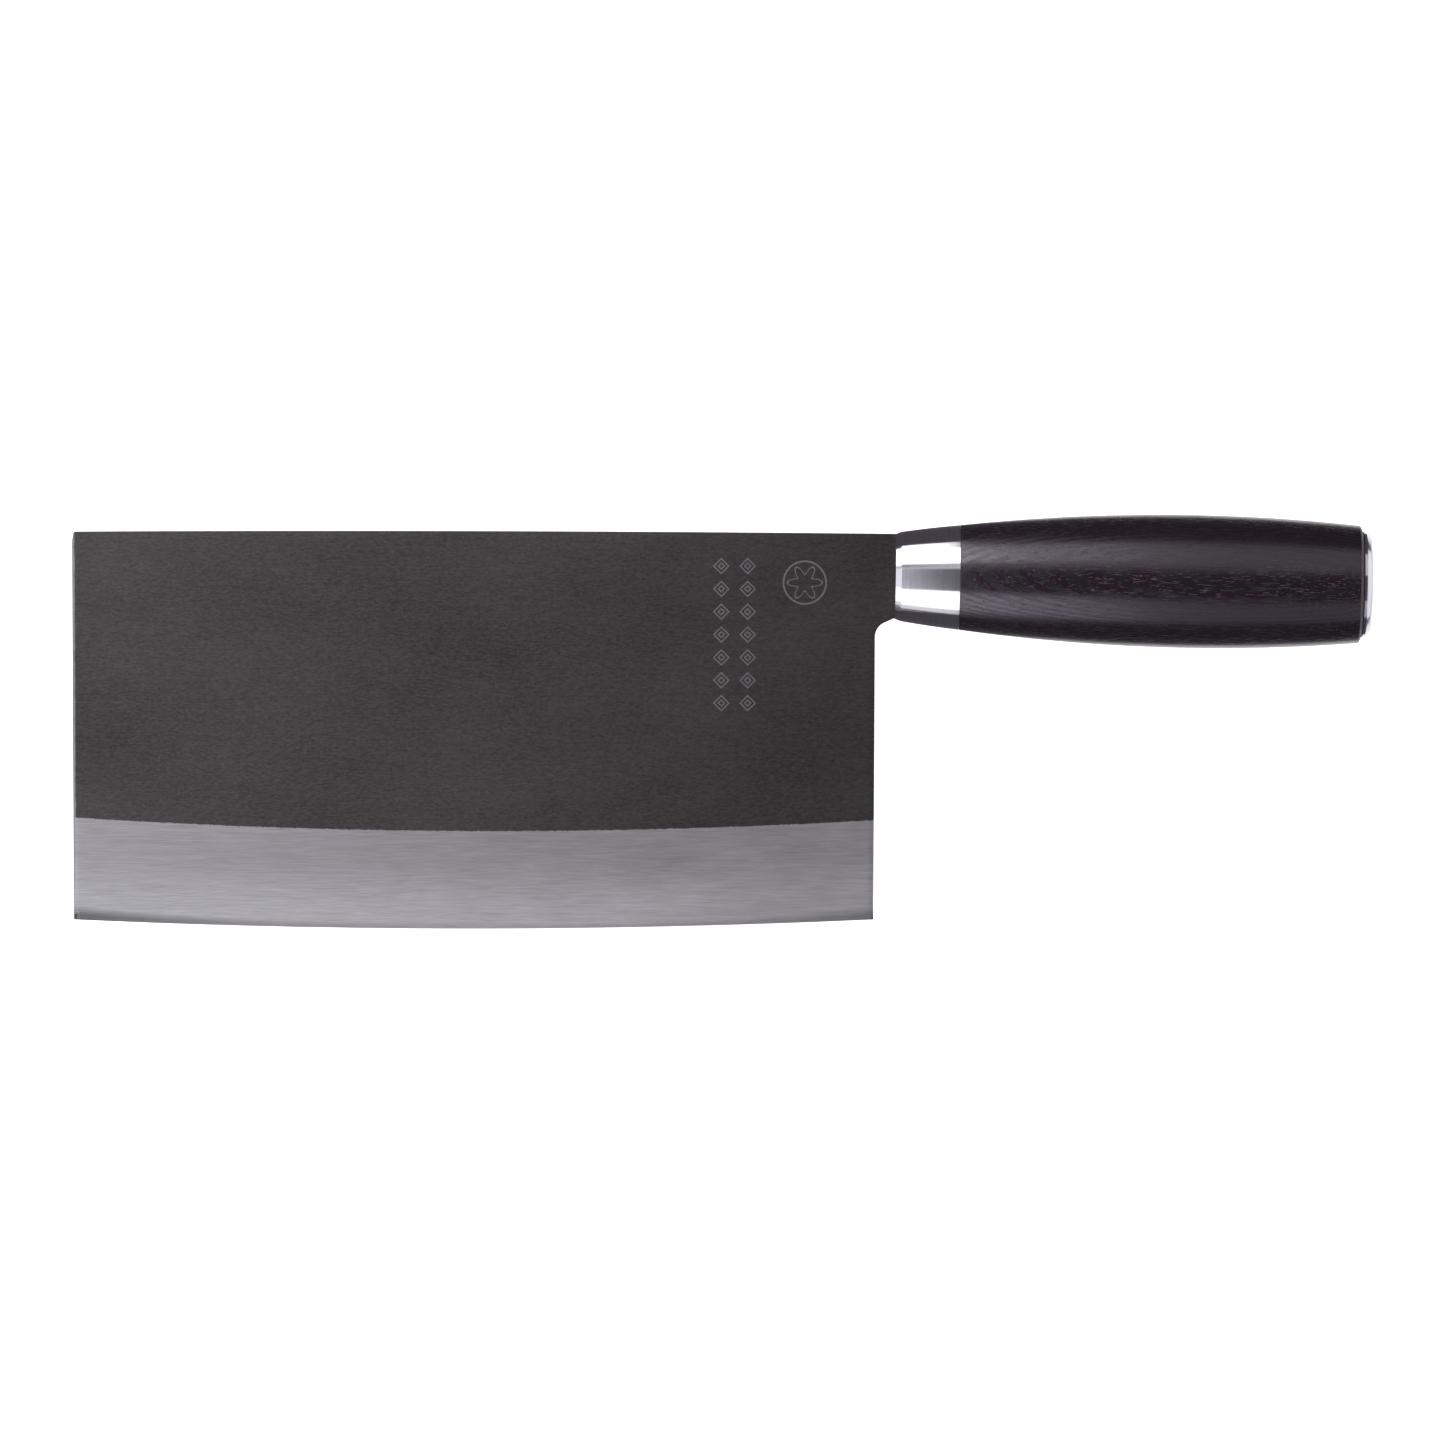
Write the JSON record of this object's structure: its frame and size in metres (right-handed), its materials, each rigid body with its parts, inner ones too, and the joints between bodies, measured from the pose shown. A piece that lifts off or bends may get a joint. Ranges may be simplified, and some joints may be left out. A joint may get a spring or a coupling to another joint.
{
  "type": "kitchen cleaver",
  "caption": "Thin rectangular slicing cleaver with a blackened blade, ground bevel, steel bolster and turned laminated-wood grip, closed by a domed steel end cap.",
  "frame": {"origin": "middle of the bounding box's underside, on the surface that the cleaver lies on", "axes": "+X from the blade's front edge to the end of the handle, +Y from the cutting edge to the spine, +Z across the blade"},
  "size_m": [0.3304, 0.1052, 0.0338],
  "materials": {
    "blade_steel": "blackened and brushed lengthways, with a bright ground bevel along the edge",
    "bolster_steel": "satin, brushed round the handle's axis",
    "laminated_wood": "black resin-laminated wood, satin, layers parallel to the blade",
    "plain_steel": "plain drawn steel, hidden",
    "weld_metal": "as welded, hidden",
    "epoxy": "cured amber adhesive, hidden",
    "black_fibre": "matt black fibre"
  },
  "bodies": {
    "root": {"blade": "blade_steel", "bolster": "bolster_steel", "grip": "laminated_wood", "tang_rod": "plain_steel", "tang_weld": "weld_metal", "tang_adhesive": "epoxy", "tang_washer": "plain_steel", "tang_nut": "plain_steel", "cap_spacer": "black_fibre", "end_cap": "bolster_steel"}
  },
  "joints": []
}
